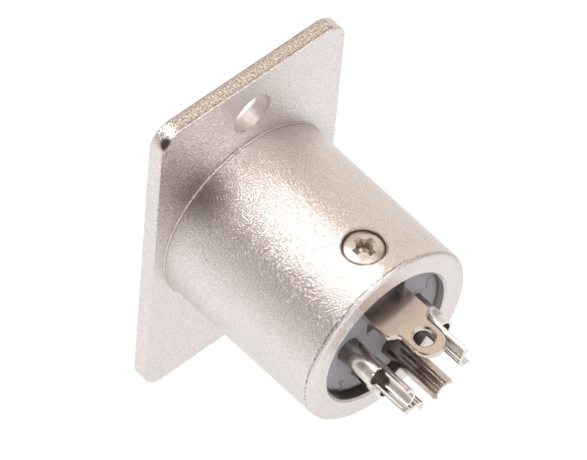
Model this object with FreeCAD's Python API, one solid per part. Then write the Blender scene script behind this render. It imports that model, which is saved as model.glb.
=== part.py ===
import FreeCAD, Part
import os
from math import cos, sin, sqrt

# A round four-pin panel connector: a cast flange with its barrel, a moulded insert, four turned contacts
# with solder cups, a ground tab and the screw that holds the insert in the barrel.
# Millimetres. The flange's front face is at z = 0 and +Z runs along the barrel to the solder side.
# +Y is the side of the screw and the ground tab, and the flange is longest along Y.

# Flange, whose outline and holes are set out from the barrel
flange_thickness = 1.75
flange_side_margin = 1.37
flange_corner_radius = 2.3
flange_front_edge_radius = 0.35
flange_rear_edge_radius = 0.13
mounting_hole_diameter = 4.1
mounting_hole_front_chamfer = 0.3
mounting_hole_rear_chamfer = 0.06
mounting_hole_to_barrel = 2.02
mounting_hole_to_end = 2.65

# Barrel, which narrows a little towards its end as a casting does
barrel_length = 19.37
barrel_root_wall = 1.68
barrel_end_wall = 1.55
barrel_root_chamfer = 0.12
barrel_end_edge_radius = 0.45
socket_diameter = 16.3
socket_mouth_chamfer = 0.5
lip_width = 0.9
lip_thickness = 1.05
lip_chamfer = 0.25

# Blind pocket in the socket's wall, where a plug's latch drops in
latch_pocket_width = 5.0
latch_pocket_depth = 0.9
latch_pocket_setback = 3.2
latch_pocket_length = 5.6

# Moulded insert, which stops against the lip inside the barrel's end
insert_clearance = 0.05
insert_front_chamfer = 0.3
key_width = 2.6
key_height = 1.3
key_length = 4.6
key_end_radius = 0.4

# Contacts, on one circle about the barrel's axis: a pin, a cone up to the shoulder, a body and a cup
contact_circle_radius = 4.0
upper_contact_angle = 9.0
lower_contact_angle = -62.0
contact_fit_clearance = 0.02
contact_front_wall = 1.25
contact_flare = 0.12
contact_shoulder_width = 0.12
pin_diameter = 2.0
pin_setback = 2.6
pin_nose_length = 0.6
pin_nose_taper = 0.45
upper_tail_length = 7.65
lower_tail_length = 7.1
cup_wall = 0.315
cup_cut_length = 3.6
cup_bore_overrun = 1.2
cup_corner_radius = 0.45

# Ground tab, a flat strip that lies in the insert and ends in a solder eye
tab_thickness = 0.6
tab_top_height = 4.7
tab_width = 5.2
tab_tongue_width = 3.2
tab_front_wall = 0.75
tab_root_margin = 2.2
tab_shoulder_reach = 3.4
tab_shoulder_length = 0.55
tab_corner_radius = 0.45
tab_eye_reach = 5.45
tab_eye_diameter = 2.0
tab_eye_to_end = 2.2
tab_edge_chamfer = 0.1
tab_eye_chamfer = 0.18
tab_clearance = 0.05

# Pockets in the insert's rear face, above and below the tab
upper_pocket_depth = 1.05
lower_pocket_depth = 2.5
lower_pocket_width = 3.4
lower_pocket_floor = 0.9

# Screw through the barrel's wall, into the ground tab
screw_depth = 3.0
screw_sink = 0.03
screw_head_diameter = 3.84
screw_head_gap = 0.1
screw_hole_chamfer = 0.08
screw_crown_height = 0.42
screw_crown_edge_radius = 0.1
screw_seat_depth = 0.3
screw_shank_diameter = 2.5
screw_shank_gap = 0.1
screw_thread_gap = 0.02
screw_end_reach = 0.8
screw_end_chamfer = 0.3
recess_span = 2.54
recess_arm_width = 0.8
recess_core_diameter = 1.62
recess_depth = 1.1
recess_floor_share = 0.45
recess_arm_floor_share = 0.75

# Radii about the barrel's axis, worked out from the sizes above
socket_radius = socket_diameter / 2
barrel_root_radius = socket_radius + barrel_root_wall
barrel_end_radius = socket_radius + barrel_end_wall
lip_opening_radius = socket_radius - lip_width
insert_radius = socket_radius - insert_clearance

# Flange outline and holes
mounting_hole_radius = mounting_hole_diameter / 2
mounting_hole_place = barrel_root_radius + mounting_hole_to_barrel + mounting_hole_radius
flange_half_height = mounting_hole_place + mounting_hole_radius + mounting_hole_to_end
flange_half_width = barrel_root_radius + flange_side_margin

# Levels along the barrel: the lip stops the insert, and the tab and the insert are set out from the screw
barrel_end = flange_thickness + barrel_length
insert_rear = barrel_end - lip_thickness
screw_level = insert_rear - screw_depth
tab_root = screw_level - tab_root_margin
insert_front = tab_root - tab_front_wall
contact_shoulder = insert_front + contact_front_wall

# Radii about a contact's own axis
pin_radius = pin_diameter / 2
cone_radius = pin_radius + contact_flare
contact_radius = cone_radius + contact_shoulder_width
cup_bore_radius = contact_radius - cup_wall

# Heights above the barrel's axis, along the screw
tab_underside = tab_top_height - tab_thickness
taper = (barrel_root_radius - barrel_end_radius) / barrel_length
screw_crown = barrel_end_radius + taper * (barrel_end - screw_level) - screw_sink
screw_seat = insert_radius - screw_seat_depth
screw_end = tab_underside - screw_end_reach

# A cutter runs this far past the face that it opens
overrun = 1.0


def vec(x, y, z):
    return FreeCAD.Vector(x, y, z)


def across(u, v):
    """A point of an outline drawn across the barrel's axis."""
    return vec(u, v, 0)


def along(u, v):
    """A point of an outline drawn in the XZ plane, along the barrel's axis."""
    return vec(u, 0, v)


def outline(corners, place):
    """A closed wire of straight sides. Each corner is (u, v, radius), rounded unless its radius is 0."""
    stretches = []
    count = len(corners)
    for i, (u, v, radius) in enumerate(corners):
        corner = place(u, v)
        if radius == 0:
            stretches.append((corner, None, corner))
            continue
        back = place(*corners[i - 1][:2]) - corner
        ahead = place(*corners[(i + 1) % count][:2]) - corner
        half = back.getAngle(ahead) / 2
        back.normalize()
        ahead.normalize()
        inward = back + ahead
        inward.normalize()
        run = radius * cos(half) / sin(half)
        middle = corner + inward * (radius / sin(half) - radius)
        stretches.append((corner + back * run, middle, corner + ahead * run))
    edges = []
    for i, (start, middle, end) in enumerate(stretches):
        if middle is not None:
            edges.append(Part.Arc(start, middle, end).toShape())
        following = stretches[(i + 1) % count][0]
        if end.distanceToPoint(following) > 1e-6:
            edges.append(Part.LineSegment(end, following).toShape())
    return Part.Wire(edges)


def turned(corners):
    """A solid turned about Z from the outline of half its section: corners of (radius, height, rounding)."""
    return Part.Face(outline(corners, along)).revolve(vec(0, 0, 0), vec(0, 0, 1), 360)


def plate(corners, bottom, thickness):
    """A flat plate across the barrel's axis."""
    face = Part.Face(outline(corners, across))
    face.translate(vec(0, 0, bottom))
    return face.extrude(vec(0, 0, thickness))


def block(x_range, y_range, z_range):
    """A box between two limits each way."""
    low = vec(x_range[0], y_range[0], z_range[0])
    size = [limits[1] - limits[0] for limits in (x_range, y_range, z_range)]
    return Part.makeBox(size[0], size[1], size[2], low)


def rod(radius, bottom, top):
    """A cylinder on the barrel's axis between two levels."""
    return Part.makeCylinder(radius, top - bottom, vec(0, 0, bottom))


def radial_rod(radius, bottom, top):
    """A cylinder on the screw's axis between two heights above the barrel's axis."""
    return Part.makeCylinder(radius, top - bottom, vec(0, bottom, screw_level), vec(0, 1, 0))


def rounded_edges(shape, radius, chosen):
    """The shape with the edges that chosen() picks rounded."""
    return shape.makeFillet(radius, [edge for edge in shape.Edges if chosen(edge)])


def lies_at(edge, level):
    """Whether the whole edge lies at that height."""
    box = edge.BoundBox
    return abs(box.ZMin - level) < 1e-4 and abs(box.ZMax - level) < 1e-4


def flared_hole(radius, thickness, flare, far_flare):
    """The cutter of a hole on the Z axis through a plate from z = 0, flared at both of its faces."""
    return turned([
        (0, -overrun, 0),
        (radius + flare + overrun, -overrun, 0),
        (radius, flare, 0),
        (radius, thickness - far_flare, 0),
        (radius + far_flare + overrun, thickness + overrun, 0),
        (0, thickness + overrun, 0),
    ])


def flange():
    x = flange_half_width
    y = flange_half_height
    r = flange_corner_radius
    body = plate([(-x, -y, r), (x, -y, r), (x, y, r), (-x, y, r)], 0, flange_thickness)
    body = rounded_edges(body, flange_front_edge_radius, lambda edge: lies_at(edge, 0))
    body = rounded_edges(body, flange_rear_edge_radius, lambda edge: lies_at(edge, flange_thickness))
    hole = flared_hole(
        mounting_hole_radius, flange_thickness, mounting_hole_front_chamfer, mounting_hole_rear_chamfer)
    for side in (-1, 1):
        body = body.cut(hole.translated(vec(0, side * mounting_hole_place, 0)))
    return body


def barrel_blank():
    """The barrel's outer form, rooted in the flange, with a small sloped collar where they meet."""
    sunk = flange_thickness / 2
    return turned([
        (0, sunk, 0),
        (barrel_root_radius + barrel_root_chamfer, sunk, 0),
        (barrel_root_radius + barrel_root_chamfer, flange_thickness, 0),
        (barrel_root_radius, flange_thickness + barrel_root_chamfer, 0),
        (barrel_end_radius, barrel_end, barrel_end_edge_radius),
        (0, barrel_end, 0),
    ])


def barrel_hollow():
    """The socket, its chamfered mouth and the opening inside the lip."""
    mouth = socket_radius + socket_mouth_chamfer
    flare = lip_opening_radius + lip_chamfer
    return turned([
        (0, -overrun, 0),
        (mouth + overrun, -overrun, 0),
        (mouth, 0, 0),
        (socket_radius, socket_mouth_chamfer, 0),
        (socket_radius, insert_rear, 0),
        (lip_opening_radius, insert_rear, 0),
        (lip_opening_radius, barrel_end - lip_chamfer, 0),
        (flare, barrel_end, 0),
        (flare, barrel_end + overrun, 0),
        (0, barrel_end + overrun, 0),
    ])


def latch_pocket():
    """A shallow pocket sunk into the socket's wall on the screw's side."""
    half = latch_pocket_width / 2
    start = latch_pocket_setback
    end = start + latch_pocket_length
    depth_radius = socket_radius + latch_pocket_depth
    return rod(depth_radius, start, end).common(block((-half, half), (0, depth_radius), (start, end)))


def shell():
    body = flange().fuse(barrel_blank()).removeSplitter()
    body = body.cut(barrel_hollow())
    body = body.cut(latch_pocket())
    hole = screw_head_diameter / 2 + screw_head_gap
    body = body.cut(radial_rod(hole, 0, barrel_root_radius + overrun))
    mouth = [edge for edge in body.Edges if is_screw_mouth(edge, hole)]
    return body.makeChamfer(screw_hole_chamfer, mouth)


def is_screw_mouth(edge, radius):
    """Whether the edge runs round the screw's hole where it comes out of the barrel."""
    inside_the_wall = (socket_radius + barrel_end_radius) / 2
    for point in edge.discretize(7):
        from_axis = sqrt(point.x ** 2 + (point.z - screw_level) ** 2)
        if abs(from_axis - radius) > 0.01 or point.y < inside_the_wall:
            return False
    return True


def key():
    """The rib that stands forward of the insert along the socket's wall."""
    half = key_width / 2
    low = insert_radius - key_height
    front = insert_front - key_length
    rib = block((-half, half), (low, insert_radius), (front, insert_front + overrun))
    inner_front = [edge for edge in rib.Edges if lies_at(edge, front) and edge.BoundBox.YMax < low + 0.01]
    rib = rib.makeFillet(key_end_radius, inner_front)
    return rib.common(rod(insert_radius, front, insert_front + overrun))


def contact_places():
    """The contact's name, its angle about the barrel's axis and its tail's length, for each contact."""
    return [
        ("contact_1", upper_contact_angle, upper_tail_length),
        ("contact_2", lower_contact_angle, lower_tail_length),
        ("contact_3", -180 - lower_contact_angle, lower_tail_length),
        ("contact_4", 180 - upper_contact_angle, upper_tail_length),
    ]


def placed(shape, angle):
    """A contact drawn on the Z axis, moved out to its place with its cut side away from the barrel's axis."""
    shape.translate(vec(contact_circle_radius, 0, 0))
    shape.rotate(vec(0, 0, 0), vec(0, 0, 1), angle)
    return shape


def contact_hole():
    """The hole that a contact is pushed into from the rear, with the cone and the step that stop it."""
    gap = contact_fit_clearance
    return turned([
        (0, insert_front - overrun, 0),
        (pin_radius + gap, insert_front - overrun, 0),
        (pin_radius + gap, insert_front, 0),
        (cone_radius + gap, contact_shoulder, 0),
        (contact_radius + gap, contact_shoulder, 0),
        (contact_radius + gap, insert_rear + overrun, 0),
        (0, insert_rear + overrun, 0),
    ])


def insert():
    r = insert_radius
    body = turned([
        (0, insert_front, 0),
        (r - insert_front_chamfer, insert_front, 0),
        (r, insert_front + insert_front_chamfer, 0),
        (r, insert_rear, 0),
        (0, insert_rear, 0),
    ])
    body = body.fuse(key()).removeSplitter()
    for name, angle, tail in contact_places():
        body = body.cut(placed(contact_hole(), angle))
    strip = tab_width / 2 + tab_clearance
    strip_low = tab_underside - tab_clearance
    strip_high = tab_top_height + tab_clearance
    rear = insert_rear + overrun
    channel = block((-strip, strip), (strip_low, strip_high), (tab_root - tab_clearance, rear))
    upper = block((-strip, strip), (tab_top_height, r + overrun), (insert_rear - upper_pocket_depth, rear))
    half = lower_pocket_width / 2
    lower = block((-half, half), (lower_pocket_floor, strip_high), (insert_rear - lower_pocket_depth, rear))
    shank = screw_shank_diameter / 2 + screw_shank_gap
    passage = radial_rod(shank, screw_end - screw_shank_gap, r + overrun)
    seat = radial_rod(screw_head_diameter / 2 + screw_shank_gap, screw_seat, r + overrun)
    for cutter in (channel, upper, lower, passage, seat):
        body = body.cut(cutter)
    return body


def contact(tail_length):
    """A turned contact: a pin, a cone and a body that seat in the insert, and a half-open solder cup."""
    tip = insert_rear + tail_length
    cut_level = tip - cup_cut_length
    body = turned([
        (0, pin_setback, 0),
        (pin_radius - pin_nose_taper, pin_setback, 0),
        (pin_radius, pin_setback + pin_nose_length, 0),
        (pin_radius, insert_front, 0),
        (cone_radius, contact_shoulder, 0),
        (contact_radius, contact_shoulder, 0),
        (contact_radius, tip, 0),
        (0, tip, 0),
    ])
    bore_end = cut_level - cup_bore_overrun
    bore = turned([
        (0, bore_end - cup_bore_radius / sqrt(3), 0),
        (cup_bore_radius, bore_end, 0),
        (cup_bore_radius, tip + overrun, 0),
        (0, tip + overrun, 0),
    ])
    body = body.cut(bore)
    reach = contact_radius + overrun
    body = body.cut(block((0, reach), (-reach, reach), (cut_level, tip + overrun)))
    return body.common(cup_end(contact_radius, tip))


def cup_end(half_width, tip):
    """A slab as wide as the contact whose rear corners are round, which rounds the cup's two tips."""
    corners = [
        (-half_width, pin_setback - overrun, 0),
        (half_width, pin_setback - overrun, 0),
        (half_width, tip, cup_corner_radius),
        (-half_width, tip, cup_corner_radius),
    ]
    slab = Part.Face(outline(corners, lambda u, v: vec(0, u, v)))
    slab.translate(vec(-half_width - overrun, 0, 0))
    return slab.extrude(vec(2 * (half_width + overrun), 0, 0))


def ground_tab():
    wide = tab_width / 2
    narrow = tab_tongue_width / 2
    shoulder = insert_rear + tab_shoulder_reach
    neck = shoulder + tab_shoulder_length
    eye_level = insert_rear + tab_eye_reach
    tip = eye_level + tab_eye_to_end
    r = tab_corner_radius
    side = [(wide, tab_root, r), (wide, shoulder, r), (narrow, neck, r), (narrow, tip, narrow)]
    mirrored = [(-u, v, rounding) for u, v, rounding in reversed(side)]
    strip = Part.Face(outline(side + mirrored, along)).extrude(vec(0, tab_thickness, 0))
    strip.translate(vec(0, tab_underside, 0))
    flat_edges = [edge for edge in strip.Edges if edge.BoundBox.YLength < 1e-4]
    strip = strip.makeChamfer(tab_edge_chamfer, flat_edges)
    eye = flared_hole(tab_eye_diameter / 2, tab_thickness, tab_eye_chamfer, tab_eye_chamfer)
    eye.rotate(vec(0, 0, 0), vec(1, 0, 0), -90)
    eye.translate(vec(0, tab_underside, eye_level))
    strip = strip.cut(eye)
    thread = radial_rod(screw_shank_diameter / 2 + screw_thread_gap, 0, insert_radius)
    return strip.cut(thread)


def recess(top):
    """The screw's recess, below the level top: two crossed wedges and a core that narrow downwards."""
    wedges = []
    floor = top - recess_depth
    for turn in (0, 90):
        ends = []
        for level, span_share, arm_share in (
            (top + overrun / 2, 1 + (1 - recess_floor_share) * overrun / 2 / recess_depth, 1.0),
            (floor, recess_floor_share, recess_arm_floor_share),
        ):
            u = recess_span / 2 * span_share
            v = recess_arm_width / 2 * arm_share
            wire = outline([(-u, -v, 0), (u, -v, 0), (u, v, 0), (-u, v, 0)], across)
            wire.translate(vec(0, 0, level))
            ends.append(wire)
        wedge = Part.makeLoft(ends, True)
        wedge.rotate(vec(0, 0, 0), vec(0, 0, 1), turn)
        wedges.append(wedge)
    core = recess_core_diameter / 2
    cone = turned([
        (0, floor, 0),
        (core * recess_floor_share, floor, 0),
        (core, top, 0),
        (core, top + overrun, 0),
        (0, top + overrun, 0),
    ])
    return wedges[0].fuse(wedges[1]).fuse(cone)


def retaining_screw():
    """Drawn on the Z axis with z as the height above the barrel's axis, then laid along Y."""
    rim = screw_crown - screw_crown_height
    head = screw_head_diameter / 2
    dome_radius = (head ** 2 + screw_crown_height ** 2) / 2 / screw_crown_height
    shank = screw_shank_diameter / 2
    body = turned([
        (0, screw_end, 0),
        (shank - screw_end_chamfer, screw_end, 0),
        (shank, screw_end + screw_end_chamfer, 0),
        (shank, screw_seat, 0),
        (head, screw_seat, 0),
        (head, screw_crown, screw_crown_edge_radius),
        (0, screw_crown, 0),
    ])
    dome = Part.makeSphere(dome_radius, vec(0, 0, screw_crown - dome_radius))
    body = body.common(dome.fuse(rod(head, screw_end, rim)))
    body = body.cut(recess(screw_crown))
    body.rotate(vec(0, 0, 0), vec(1, 0, 0), -90)
    body.translate(vec(0, 0, screw_level))
    return body


def main():
    os.makedirs("parts", exist_ok=True)
    pieces = {
        "shell": shell(),
        "insert": insert(),
        "ground_tab": ground_tab(),
        "retaining_screw": retaining_screw(),
    }
    for name, angle, tail in contact_places():
        pieces[name] = placed(contact(tail), angle)
    for name, shape in pieces.items():
        print(name, len(shape.Solids), shape.isValid(), round(shape.Volume, 2))
        shape.exportStep("parts/" + name + ".step")


main()
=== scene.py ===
import math

import bmesh
import bpy
from mathutils import Matrix, Vector


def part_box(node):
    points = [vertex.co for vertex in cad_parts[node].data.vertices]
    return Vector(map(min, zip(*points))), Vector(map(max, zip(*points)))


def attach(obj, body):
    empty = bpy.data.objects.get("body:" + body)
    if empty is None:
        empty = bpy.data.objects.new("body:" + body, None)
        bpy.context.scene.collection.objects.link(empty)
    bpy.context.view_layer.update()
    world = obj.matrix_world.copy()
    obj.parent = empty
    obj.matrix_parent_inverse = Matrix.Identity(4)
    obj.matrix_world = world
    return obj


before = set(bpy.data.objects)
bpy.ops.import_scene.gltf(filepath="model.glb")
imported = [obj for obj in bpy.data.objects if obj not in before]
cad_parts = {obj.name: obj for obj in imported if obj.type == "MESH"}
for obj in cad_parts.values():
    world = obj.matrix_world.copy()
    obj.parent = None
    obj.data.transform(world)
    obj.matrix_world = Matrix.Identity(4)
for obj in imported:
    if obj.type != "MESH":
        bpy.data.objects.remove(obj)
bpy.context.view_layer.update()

# The looks of a four-pin panel connector: blasted nickel casting, grey insert, plated contacts,
# ground tab and screw. The part stands on its flange in its own frame, and +Z is the solder side.
# Blender works in metres. Places and sizes on the part are named here in millimetres.
MM = 0.001

# Places on the part that the finishes follow
flange_back = 1.75
flange_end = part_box("shell")[1][1] / MM
corner_glint_place = (-10.95, 18.1, 1.0)
corner_dark_reflection_place = (-10.95, 18.1, 1.7)
darkest_root = (-6.1, 7.9, 2.6)
root_radius = 9.9
end_edge_level = 20.68
lip_opening = 7.25
hole_place = 13.9
hole_radius = 2.05
insert_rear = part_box("insert")[1][2] / MM
screw_low, screw_high = (Vector(corner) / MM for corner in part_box("retaining_screw"))
screw_top = screw_high.y
screw_height = (screw_low.z + screw_high.z) / 2
cup_bore = 0.925
cup_cut = 24.1

# Numerals on the insert's rear: text, x, y
numerals = [("1", 5.75, 2.3), ("2", 4.35, -4.6), ("3", -4.35, -4.6), ("4", -5.75, 2.3)]
numeral_height = 1.7
numeral_rise = 0.06
numeral_edge = 0.02

# The photograph's frame, and the camera that sees the connector as the photograph does
image_width = 587
sensor_width = 36.0
focal_length_pixels = 7001
camera_azimuth = math.radians(119.507)
camera_elevation = math.radians(24.825)
camera_roll = math.radians(132.127)
camera_distance = 0.638
camera_aim = Vector((0.10, 2.95, 8.12)) * MM

# Soft lights: name, azimuth and elevation in degrees, width and height in metres, watts
softboxes = [("key", 102.0, -26, 0.03, 0.38, 0.8), ("fill", 90, 26, 0.16, 0.14, 0.48)]
softbox_distance = 0.5

# The floor, whose gap keeps it off the flange's front face
floor_radius = 6.0
floor_gap = 0.02 * MM
floor_grey = (0.12, 0.12, 0.12, 1)
floor_glow = 0.93

# Colours of the casting: clean; stained, which also carries painted shade; in the painted shade of
# its root; brown for dirt and painted shade; and black for painted shade and a painted dark
# reflection
nickel_clean = (0.91, 0.86, 0.845, 1)
nickel_stained_and_shaded = (0.53, 0.46, 0.43, 1)
nickel_shaded = (0.3, 0.25, 0.22, 1)
brown_dirt_and_shade = (0.4, 0.31, 0.26, 1)
painted_black = (0.07, 0.05, 0.042, 1)

# Colours of the flange's trimmed ends; the glint colour is a painted highlight
end_dull = (0.55, 0.475, 0.44, 1)
end_pale = (0.8, 0.73, 0.69, 1)
end_pitted = (0.4, 0.335, 0.3, 1)
end_creased = (0.3, 0.24, 0.2, 1)
end_glint = (1.0, 0.99, 0.97, 1)

# Colours of the insert, the contacts, the tab and the screw. The insert's rim black and the
# contacts' foot colour are painted shade; the contacts' brown is tarnish, painted shade and a
# painted dark reflection; the screw's brown is dirt and painted shade.
grey_dark = (0.28, 0.27, 0.3, 1)
grey_light = (0.42, 0.405, 0.445, 1)
insert_rim_shade = (0.03, 0.022, 0.018, 1)
contact_bright = (0.95, 0.92, 0.89, 1)
contact_brown = (0.3, 0.21, 0.16, 1)
contact_foot = (0.14, 0.1, 0.08, 1)
tab_warm = (0.82, 0.735, 0.67, 1)
tab_dull = (0.71, 0.62, 0.555, 1)
screw_bright = (0.8, 0.745, 0.7, 1)
screw_brown = (0.3, 0.22, 0.17, 1)

# How brown each contact is: tarnish, and on contact_2 mostly a painted dark reflection of the tab's
# underside
tarnish_and_shade_shares = {"contact_1": 0.12, "contact_2": 0.8, "contact_3": 0.12, "contact_4": 0.12}

# The room's walls below and above the part's level: azimuth in degrees, colour
low_walls = [
    (-180, (0.82, 0.79, 0.77)),
    (-165, (0.95, 0.93, 0.92)),
    (-120, (1.0, 1.0, 1.0)),
    (-60, (0.92, 0.9, 0.89)),
    (-20, (0.88, 0.84, 0.79)),
    (30, (0.84, 0.75, 0.66)),
    (60, (0.83, 0.735, 0.635)),
    (84, (0.83, 0.75, 0.67)),
    (112, (0.74, 0.68, 0.63)),
    (124, (0.5, 0.46, 0.42)),
    (148, (0.46, 0.42, 0.39)),
    (163, (0.52, 0.48, 0.45)),
]
high_walls = [
    (-180, (0.75, 0.71, 0.7)),
    (-168, (0.95, 0.92, 0.91)),
    (-120, (1.0, 0.98, 0.98)),
    (-60, (1.0, 1.0, 1.0)),
    (-38, (0.95, 0.93, 0.92)),
    (-8, (0.42, 0.37, 0.34)),
    (20, (0.33, 0.28, 0.25)),
    (50, (0.4, 0.35, 0.31)),
    (70, (0.95, 0.9, 0.86)),
    (96, (1.0, 0.96, 0.93)),
    (112, (0.35, 0.3, 0.28)),
    (126, (0.08, 0.07, 0.06)),
    (152, (0.05, 0.042, 0.038)),
    (170, (0.16, 0.14, 0.13)),
]
room_ceiling = (0.95, 0.93, 0.92, 1)
room_ground = (0.85, 0.82, 0.8, 1)
white = (1, 1, 1, 1)


class Tone:
    """One socket of a finish. Arithmetic on it adds Math nodes, so a mask is a plain expression."""

    def __init__(self, finish, socket):
        self.finish = finish
        self.socket = socket

    def __add__(self, other):
        return self.finish.sum_of("ADD", self, other)

    def __radd__(self, other):
        return self.finish.sum_of("ADD", other, self)

    def __sub__(self, other):
        return self.finish.sum_of("SUBTRACT", self, other)

    def __rsub__(self, other):
        return self.finish.sum_of("SUBTRACT", other, self)

    def __mul__(self, other):
        return self.finish.sum_of("MULTIPLY", self, other)

    def __rmul__(self, other):
        return self.finish.sum_of("MULTIPLY", other, self)

    def __truediv__(self, other):
        return self.finish.sum_of("DIVIDE", self, other)

    def __rtruediv__(self, other):
        return self.finish.sum_of("DIVIDE", other, self)

    def __pow__(self, other):
        return self.finish.sum_of("POWER", self, other)

    def __abs__(self):
        return self.finish.node("ShaderNodeMath", {"operation": "ABSOLUTE"}, {0: self})

    def clipped(self):
        """The value held between 0 and 1."""
        return self.finish.node("ShaderNodeClamp", {}, {"Value": self})

    def between(self, low, high):
        """0 at low, 1 at high and a smooth step from one to the other."""
        settings = {"interpolation_type": "SMOOTHSTEP"}
        sockets = {"Value": self, "From Min": low, "From Max": high}
        return self.finish.node("ShaderNodeMapRange", settings, sockets)

    def near(self, centre, full, none):
        """1 where the value is no further than full from the centre, 0 from none on."""
        return 1 - abs(self - centre).between(full, none)


class Mixture:
    """A tree of shader nodes, and the few ways that one is built up."""

    def __init__(self, tree):
        self.tree = tree
        self.tree.nodes.clear()

    def feed(self, socket, value):
        """Links a tone to a socket, or sets the socket to a plain value."""
        if isinstance(value, Tone):
            self.tree.links.new(value.socket, socket)
        else:
            socket.default_value = value

    def node(self, kind, settings, sockets, output=0):
        """Any node: its settings, then the values or links of its sockets. Gives one output."""
        made = self.tree.nodes.new(kind)
        for setting, value in settings.items():
            if setting == "stops":
                ramp_stops(made.color_ramp, value)
            else:
                setattr(made, setting, value)
        for socket_name, value in sockets.items():
            self.feed(made.inputs[socket_name], value)
        return None if output is None else Tone(self, made.outputs[output])

    def sum_of(self, operation, first, second):
        return self.node("ShaderNodeMath", {"operation": operation}, {0: first, 1: second})

    def distance(self, first, second):
        """The length of two coordinates."""
        return (first * first + second * second) ** 0.5

    def blend(self, share, first, second):
        """One colour over another, by a share from 0 to 1."""
        sockets = {"Factor": share, 6: first, 7: second}
        return self.node("ShaderNodeMix", {"data_type": "RGBA"}, sockets, 2)


class Finish(Mixture):
    """A material with one glossy skin, and the patterns that it is made of."""

    def __init__(self, name, **even):
        self.material = bpy.data.materials.new(name)
        self.material.use_nodes = True
        super().__init__(self.material.node_tree)
        surface = self.node("ShaderNodeBsdfPrincipled", {}, {}, "BSDF")
        self.node("ShaderNodeOutputMaterial", {}, {"Surface": surface}, None)
        self.skin = surface.socket.node
        self.wear(**even)

    def wear(self, **looks):
        """Sets or links the skin's own sockets, with their names in underscores."""
        for socket_name, value in looks.items():
            self.feed(self.skin.inputs[socket_name.replace("_", " ")], value)

    def place(self):
        """Where a point lies on the part, in metres."""
        return self.node("ShaderNodeTexCoord", {}, {}, "Object")

    def stretched(self, factors):
        """The place with each of its axes multiplied, for grain that runs one way."""
        sockets = {0: self.place(), 1: factors}
        return self.node("ShaderNodeVectorMath", {"operation": "MULTIPLY"}, sockets)

    def axes(self):
        """The three coordinates of the place, in millimetres."""
        sockets = {"Vector": self.place()}
        return [self.node("ShaderNodeSeparateXYZ", {}, sockets, name) / MM for name in "XYZ"]

    def clouds(self, size, detail=2.0, roughness=0.5, place=None):
        """Soft noise, 0 to 1, whose lumps are about that many millimetres across."""
        sockets = {
            "Vector": place or self.place(),
            "Scale": 1 / (size * MM),
            "Detail": detail,
            "Roughness": roughness,
        }
        return self.node("ShaderNodeTexNoise", {}, sockets, "Fac")

    def cells(self, size, output):
        """A cell pattern whose cells are about that many millimetres across."""
        sockets = {"Vector": self.place(), "Scale": 1 / (size * MM)}
        return self.node("ShaderNodeTexVoronoi", {}, sockets, output)

    def reach(self, point):
        """How far the place is from that point of the part, in millimetres."""
        sockets = {0: self.place(), 1: Vector(point) * MM}
        return self.node("ShaderNodeVectorMath", {"operation": "DISTANCE"}, sockets, "Value") / MM

    def relief(self, height, depth):
        """Bumps the skin by a height from 0 to 1 that stands for that many millimetres."""
        sockets = {"Height": height, "Distance": depth * MM, "Strength": 1.0}
        self.wear(Normal=self.node("ShaderNodeBump", {}, sockets))


def ramp_stops(ramp, stops):
    """Sets a colour ramp's stops, each a place and a colour."""
    while len(ramp.elements) > 1:
        ramp.elements.remove(ramp.elements[0])
    ramp.elements[0].position, ramp.elements[0].color = stops[0]
    for position, colour in stops[1:]:
        ramp.elements.new(position).color = colour


def trimmed_end(finish, z, ragged, glints):
    """Colour of the flange's trimmed ends: streaked and creased, with painted glints, most in a
    paler middle band of painted sheen, and a patch of painted glints on the corner.
    """
    streaks = finish.clouds(0.3, 2.0, 0.6, finish.stretched((0.12, 1.0, 1.0)))
    # A paler middle band with more glints: painted sheen
    middle = z.between(0.3, 0.8) * (1 - z.between(1.25, 1.5))
    # Painted highlight: glints on the flange's corner
    corner_glint = 1 - finish.reach(corner_glint_place).between(0.8, 1.9)
    crease = z.between(1.42, 1.5) * ragged.between(0.48, 0.58)
    front_edge = 1 - z.between(0.1, 0.35)
    # Painted highlight: the glints
    glint = glints.between(0.5, 0.62) * (0.25 + 0.75 * middle)
    glint = glint + 0.8 * glints.between(0.48, 0.62) * corner_glint
    colour = finish.blend((0.7 * streaks + 0.3 * middle).clipped(), end_dull, end_pale)
    colour = finish.blend(1 - glints.between(0.34, 0.44), colour, end_pitted)
    colour = finish.blend(0.7 * crease + 0.5 * front_edge, colour, end_creased)
    return finish.blend(glint.clipped(), colour, end_glint)


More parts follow.
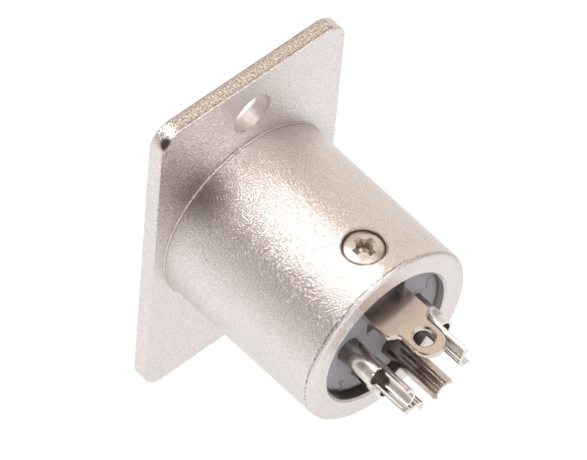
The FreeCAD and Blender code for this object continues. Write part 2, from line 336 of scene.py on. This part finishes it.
def dirt_and_shade_places(finish, x, y, z, ragged):
    """Where dirt and painted shade sit: brown dirt with a painted shadow round the screw, painted
    brown lines round the holes, painted shade on the lip's wall, and painted black along the end's
    edge, beside the screw and low in the lip.
    """
    radius = finish.distance(x, y)

    # Round the screw: a brown rim of dirt and painted shadow from the gap round its head, and a
    # painted black shade line on the side of the barrel's end
    from_screw = finish.distance(x, z - screw_height)
    below_screw = (z - screw_height - x).between(-1.5, 1.0)
    screw_rim = (1 - (from_screw - 0.3 * ragged).between(1.86, 2.12)) * y.between(7.0, 7.2)
    screw_rim = screw_rim * (0.35 + 0.65 * from_screw.between(2.02, 2.06))
    screw_line = from_screw.near(2.1, 0.06, 0.2) * y.between(8.0, 8.2)
    screw_line = screw_line * ragged.between(0.35, 0.5) * below_screw

    # Painted dark marks: a ragged black line along the edge of the barrel's end on its -X side, and
    # painted shade on the wall of its lip: brown, darker at its foot by the insert, and black at
    # the bottom
    end_edge = z.near(end_edge_level, 0.03, 0.12) * radius.between(9.3, 9.4)
    end_edge = end_edge * ragged.between(0.44, 0.54) * (1 - x.between(1.0, 4.0))
    lip = 1 - radius.between(lip_opening + 0.03, lip_opening + 0.1)
    lip = lip * z.between(insert_rear - 0.1, insert_rear)
    lip_foot = lip * (1 - (z + 0.5 * ragged).between(insert_rear + 0.3, insert_rear + 0.5))
    lip_low = 1 - (radius - 0.9 * (ragged - 0.5)).between(lip_opening + 0.2, lip_opening + 0.3)
    lip_low = lip_low * (1 - y.between(-5.5, -4.0))

    # Round the mounting holes: a ragged brown line painted on their rear edges
    from_hole = finish.distance(x, abs(y) - hole_place)
    hole_rim = from_hole.near(hole_radius + 0.06, 0.03, 0.09) * ragged.between(0.4, 0.5)
    hole_rim = hole_rim * (z - flange_back).between(-0.15, -0.07)

    brown = 0.85 * screw_rim + 0.15 * lip + 0.5 * lip_foot + 0.7 * hole_rim
    painted_dark = 0.75 * end_edge + 0.9 * lip * lip_low + 0.75 * screw_line
    return brown.clipped(), painted_dark


def nickel_stain_and_shade(finish, x, y, z, specks):
    """How dark the casting's colour is: stained by specks and pits, with painted shade where barrel
    and flange meet, and darker towards the flange's -Y end.
    """
    radius = finish.distance(x, y)
    above = z - flange_back
    behind = above.between(-0.15, -0.03)
    pits = 1 - finish.cells(2.4, "Distance").between(0.04, 0.07)
    pits = pits * finish.cells(2.4, "Color").between(0.5, 0.55)
    # A dark line in the crease of the root: dust and painted shade
    root = radius.near(root_radius, 0.06, 0.14) * (1 - above.between(0.2, 0.3))
    # A painted contact shadow on the flange round the root, on its -X side
    root_contact_shadow = 1 - radius.between(root_radius, root_radius + 1.7)
    root_contact_shadow = root_contact_shadow * (1 - above.between(0.03, 0.07)) * x.between(-7.0, -3.0)
    # Painted shade as denser dark specks by the root, on the -X, +Y side
    root_shade_specks = (1 - x.between(-4.0, 3.0)) * y.between(2.0, 8.0) * (1 - 0.6 * z.between(5.0, 9.0))
    # Darker towards the flange's -Y end
    lower_end = 1 - y.between(-8.0, 0.0)
    stain_and_shade = (0.24 + 0.38 * root_shade_specks * behind) * specks + 0.6 * pits + 0.4 * root
    return stain_and_shade + (0.3 * root_contact_shadow + 0.12 * lower_end) * behind


def blasted_nickel():
    """Zinc casting, shot-blasted and nickel plated: sandy grain, trimmed ends with painted glints,
    dirt with painted shade in its corners, edges and recesses, and a painted dark reflection on a
    corner.
    """
    finish = Finish("blasted_nickel")
    x, y, z = finish.axes()
    above = z - flange_back
    sand = finish.clouds(0.09, 0.0)
    coarse = finish.clouds(0.165, 1.0, 0.6)
    clouds = finish.clouds(5.0, 3.0)
    ragged = finish.clouds(0.45, 3.0, 0.7)
    glints = finish.clouds(0.2, 1.0, 0.7)
    ends = abs(y).between(flange_end - 0.25, flange_end - 0.1)
    ends = ends * (1 - above.between(-0.19, -0.09))
    bore = 1 - finish.distance(x, abs(y) - hole_place).between(hole_radius, hole_radius + 0.1)
    shade = 1 - finish.reach(darkest_root).between(0.4, 4.0)
    shade = shade * (0.2 + 0.8 * above.between(0.01, 0.45)) * above.between(-0.15, -0.03)
    specks = (0.6 * sand + 0.4 * coarse).between(0.41, 0.59)
    stain_and_shade = nickel_stain_and_shade(finish, x, y, z, specks) + 0.1 * clouds + 0.35 * bore
    brown, painted_dark = dirt_and_shade_places(finish, x, y, z, ragged)
    # Painted dark reflection: a black spot on the flange's corner
    painted_dark = (painted_dark + 1 - finish.reach(corner_dark_reflection_place).between(0.6, 1.05)).clipped()

    colour = finish.blend(stain_and_shade.clipped(), nickel_clean, nickel_stained_and_shaded)
    colour = finish.blend(0.75 * shade, colour, nickel_shaded)
    colour = finish.blend(ends, colour, trimmed_end(finish, z, ragged, glints))
    colour = finish.blend(brown, colour, brown_dirt_and_shade)
    finish.wear(
        Base_Color=finish.blend(painted_dark, colour, painted_black),
        Metallic=1 - 0.5 * brown - 0.4 * painted_dark,
        Roughness=0.19 + 0.06 * clouds + 0.25 * bore + 0.25 * brown + 0.3 * painted_dark,
    )
    finish.relief((0.9 * sand + 0.45 * coarse) * (1 - ends) + 1.35 * glints * ends, 0.051)
    return finish.material


def moulded_grey():
    """Grey glass-filled plastic with a fine flow pattern and a matt skin, with painted shade along
    its rim, thicker towards the bottom.
    """
    finish = Finish("moulded_grey", Metallic=0.0)
    x, y, _ = finish.axes()
    flow = finish.clouds(2.2, 4.0, 0.6)
    fibres = finish.clouds(0.12, 2.0, 0.6, finish.stretched((1.0, 0.35, 1.0)))
    # Painted shade along the rim, wider towards the bottom
    lower = 1 - y.between(-5.0, -2.5)
    rim = finish.distance(x, y) + 0.3 * finish.clouds(0.5, 3.0, 0.7) + 0.35 * lower
    rim = rim.between(lip_opening - 0.2, lip_opening + 0.25)
    colour = finish.blend(flow, grey_dark, grey_light)
    finish.wear(Base_Color=finish.blend(rim, colour, insert_rim_shade), Roughness=0.42 + 0.18 * fibres)
    finish.relief(fibres, 0.006)
    return finish.material


def plated_contact(axis, tarnish_and_shade_share):
    """Turned and silver plated: drag marks along it and brown tarnish, with painted shade at its
    foot and in its cup, and a painted dark reflection where the share is high.
    """
    finish = Finish("plated_contact", Metallic=1.0)
    x, y, z = finish.axes()
    drag = finish.clouds(0.1, 1.0, 0.5, finish.stretched((1.0, 1.0, 0.02)))
    tarnish = finish.clouds(1.1, 3.0, 0.6, finish.stretched((1.0, 1.0, 0.4))).between(0.5, 0.75)
    from_axis = finish.distance(x - axis.x, y - axis.y)
    # Inside the cup: brown streaks along the drag marks and a dark floor, painted shade of its bore
    inside = 1 - from_axis.between(cup_bore + 0.03, cup_bore + 0.12)
    streaks = inside * drag.between(0.45, 0.6)
    floor = inside * (1 - z.between(cup_cut - 0.1, cup_cut + 0.5))
    # Painted shade at the foot, where the contact goes into the insert
    foot = 1 - z.between(insert_rear + 0.5, insert_rear + 1.8)
    # Tarnish; contact_2's large share is mostly a painted dark reflection
    brown = tarnish_and_shade_share * (0.6 + tarnish + 1.5 * streaks) + 0.1 * tarnish + 0.5 * floor
    colour = finish.blend(brown.clipped(), contact_bright, contact_brown)
    finish.wear(
        Base_Color=finish.blend(0.8 * foot, colour, contact_foot),
        Roughness=0.11 + 0.06 * drag + 0.1 * tarnish + 0.3 * floor,
    )
    finish.relief(drag, 0.002)
    return finish.material


def plated_tab():
    """Punched strip, dull nickel plated: a faint rolling grain along it and a warm cast."""
    finish = Finish("plated_tab", Metallic=1.0)
    rolled = finish.clouds(0.12, 3.0, 0.6, finish.stretched((1.0, 1.0, 0.12)))
    clouds = finish.clouds(1.6, 3.0, 0.6)
    finish.wear(
        Base_Color=finish.blend(clouds, tab_warm, tab_dull),
        Roughness=0.18 + 0.12 * rolled,
    )
    finish.relief(rolled, 0.005)
    return finish.material


def plated_screw():
    """Cold-headed and nickel plated: bright, softly wavy, with brown marks, a dull rim darkened
    with painted shade, and painted shade in its recess.
    """
    finish = Finish("plated_screw", Metallic=1.0)
    x, y, z = finish.axes()
    from_axis = finish.distance(x, z - screw_height)
    waves = finish.clouds(0.5, 2.0)
    marks = finish.clouds(0.14, 3.0, 0.7).between(0.5, 0.8)
    # Painted shade in the head's recess, with brown streaks
    sunk = (1 - y.between(screw_top - 0.75, screw_top - 0.35)) * (1 - from_axis.between(1.3, 1.4))
    streaks = finish.clouds(0.12, 1.0, 0.5, finish.stretched((1.0, 0.15, 1.0)))
    streaks = sunk * streaks.between(0.4, 0.6)
    # Painted shade round the head's rim, beside the gap
    rim = (from_axis + 0.2 * finish.clouds(0.4, 3.0, 0.7)).between(1.78, 1.98)
    brown = (0.35 * marks + 0.3 * sunk + 0.35 * streaks + 0.8 * rim).clipped()
    finish.wear(
        Base_Color=finish.blend(brown, screw_bright, screw_brown),
        Roughness=0.18 + 0.12 * waves + 0.2 * rim,
    )
    finish.relief(waves, 0.012)
    return finish.material


def dress(node, material):
    """Gives a CAD node its finish."""
    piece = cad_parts[node]
    if not piece.material_slots:
        piece.data.materials.append(material)
    for place in piece.material_slots:
        place.material = material


def add_numeral(number, x, y, material):
    """A raised numeral beside a contact, moulded on the insert's rear face."""
    outline = bpy.data.curves.new("outline_" + number, "FONT")
    outline.body = number
    outline.size = numeral_height * MM
    outline.align_x = "CENTER"
    outline.align_y = "CENTER"
    outline.extrude = numeral_rise * MM
    outline.bevel_depth = numeral_edge * MM
    drawn = bpy.data.objects.new("drawn_" + number, outline)
    bpy.context.collection.objects.link(drawn)
    bpy.context.view_layer.update()
    settled = drawn.evaluated_get(bpy.context.evaluated_depsgraph_get())
    mesh = bpy.data.meshes.new_from_object(settled)
    bpy.data.objects.remove(drawn)
    mesh.transform(Matrix.Translation(Vector((x, y, insert_rear)) * MM))
    mesh.materials.clear()
    mesh.materials.append(material)
    numeral = bpy.data.objects.new("numeral_" + number, mesh)
    bpy.context.collection.objects.link(numeral)
    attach(numeral, "root")


def dress_all():
    dress("shell", blasted_nickel())
    dress("ground_tab", plated_tab())
    dress("retaining_screw", plated_screw())
    for node, tarnish_and_shade_share in tarnish_and_shade_shares.items():
        low, high = (Vector(corner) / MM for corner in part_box(node))
        dress(node, plated_contact((low + high) / 2, tarnish_and_shade_share))
    plastic = moulded_grey()
    dress("insert", plastic)
    for number, x, y in numerals:
        add_numeral(number, x, y, plastic)


def facing(azimuth, elevation):
    """A unit vector towards that direction, azimuth from +X."""
    level = math.cos(elevation)
    return Vector((level * math.cos(azimuth), level * math.sin(azimuth), math.sin(elevation)))


def standing_back(back, distance, roll=0.0):
    """Where a camera or lamp stands that far back from the aim, and rolled about its own axis."""
    turned = back.to_track_quat("Z", "Y").to_matrix().to_4x4()
    return Matrix.Translation(camera_aim + back * distance) @ turned @ Matrix.Rotation(roll, 4, "Z")


def add_camera():
    lens = bpy.data.cameras.new("camera")
    lens.sensor_width = sensor_width
    lens.lens = focal_length_pixels * sensor_width / image_width
    lens.clip_start = 0.05
    lens.clip_end = 20
    camera = bpy.data.objects.new("camera", lens)
    back = facing(camera_azimuth, camera_elevation)
    camera.matrix_world = standing_back(back, camera_distance, camera_roll)
    bpy.context.collection.objects.link(camera)
    bpy.context.scene.camera = camera


def add_softbox(name, azimuth, elevation, width, height, power):
    """A flat soft light that faces the part. Degrees, metres and watts."""
    lamp = bpy.data.lights.new(name, "AREA")
    lamp.shape = "RECTANGLE"
    lamp.size = width
    lamp.size_y = height
    lamp.energy = power
    box = bpy.data.objects.new(name, lamp)
    back = facing(math.radians(azimuth), math.radians(elevation))
    box.matrix_world = standing_back(back, softbox_distance)
    bpy.context.collection.objects.link(box)


def add_floor():
    """A lit table. The lamps and the room shine through it, and it doesn't show from below."""
    mesh = bpy.data.meshes.new("floor")
    form = bmesh.new()
    level = Matrix.Translation((0, 0, -floor_gap))
    bmesh.ops.create_circle(form, cap_ends=True, segments=96, radius=floor_radius, matrix=level)
    form.to_mesh(mesh)
    form.free()
    floor = bpy.data.objects.new("floor", mesh)
    bpy.context.collection.objects.link(floor)
    table = Finish("lit_table", Roughness=0.9, Base_Color=floor_grey)
    table.wear(Emission_Color=white, Emission_Strength=floor_glow)
    table.wear(Alpha=1 - table.node("ShaderNodeNewGeometry", {}, {}, "Backfacing"))
    mesh.materials.append(table.material)
    floor.visible_shadow = False
    floor.visible_glossy = False
    floor.visible_diffuse = False


def round_the_room(room, heading, stops):
    """A colour by compass direction, from stops of an azimuth in degrees and a colour."""
    sockets = {"Vector": heading}
    east, north = (room.node("ShaderNodeSeparateXYZ", {}, sockets, name) for name in "XY")
    turn = room.node("ShaderNodeMath", {"operation": "ARCTAN2"}, {0: north, 1: east})
    stops = [((azimuth + 180) / 360, colour + (1,)) for azimuth, colour in stops]
    sockets = {"Fac": turn / (2 * math.pi) + 0.5}
    return room.node("ShaderNodeValToRGB", {"stops": stops}, sockets, "Color")


def add_world():
    """A pale room, darker on one side, for the plating to mirror. The camera sees plain white."""
    world = bpy.data.worlds.new("studio")
    world.use_nodes = True
    room = Mixture(world.node_tree)
    heading = room.node("ShaderNodeTexCoord", {}, {}, "Generated")
    height = room.node("ShaderNodeSeparateXYZ", {}, {"Vector": heading}, "Z")
    low = round_the_room(room, heading, low_walls)
    high = round_the_room(room, heading, high_walls)
    colour = room.blend(height.between(-0.15, 0.2), low, high)
    colour = room.blend(height.between(0.5, 0.75), colour, room_ceiling)
    colour = room.blend((0 - height).between(0.65, 0.9), colour, room_ground)
    colour = room.blend(room.node("ShaderNodeLightPath", {}, {}, "Is Camera Ray"), colour, white)
    glow = room.node("ShaderNodeBackground", {}, {"Color": colour, "Strength": 1.0})
    room.node("ShaderNodeOutputWorld", {}, {"Surface": glow}, None)
    bpy.context.scene.world = world


def add_studio():
    add_floor()
    add_world()
    for softbox in softboxes:
        add_softbox(*softbox)
    bpy.context.scene.view_settings.view_transform = "Standard"


add_camera()
add_studio()
dress_all()
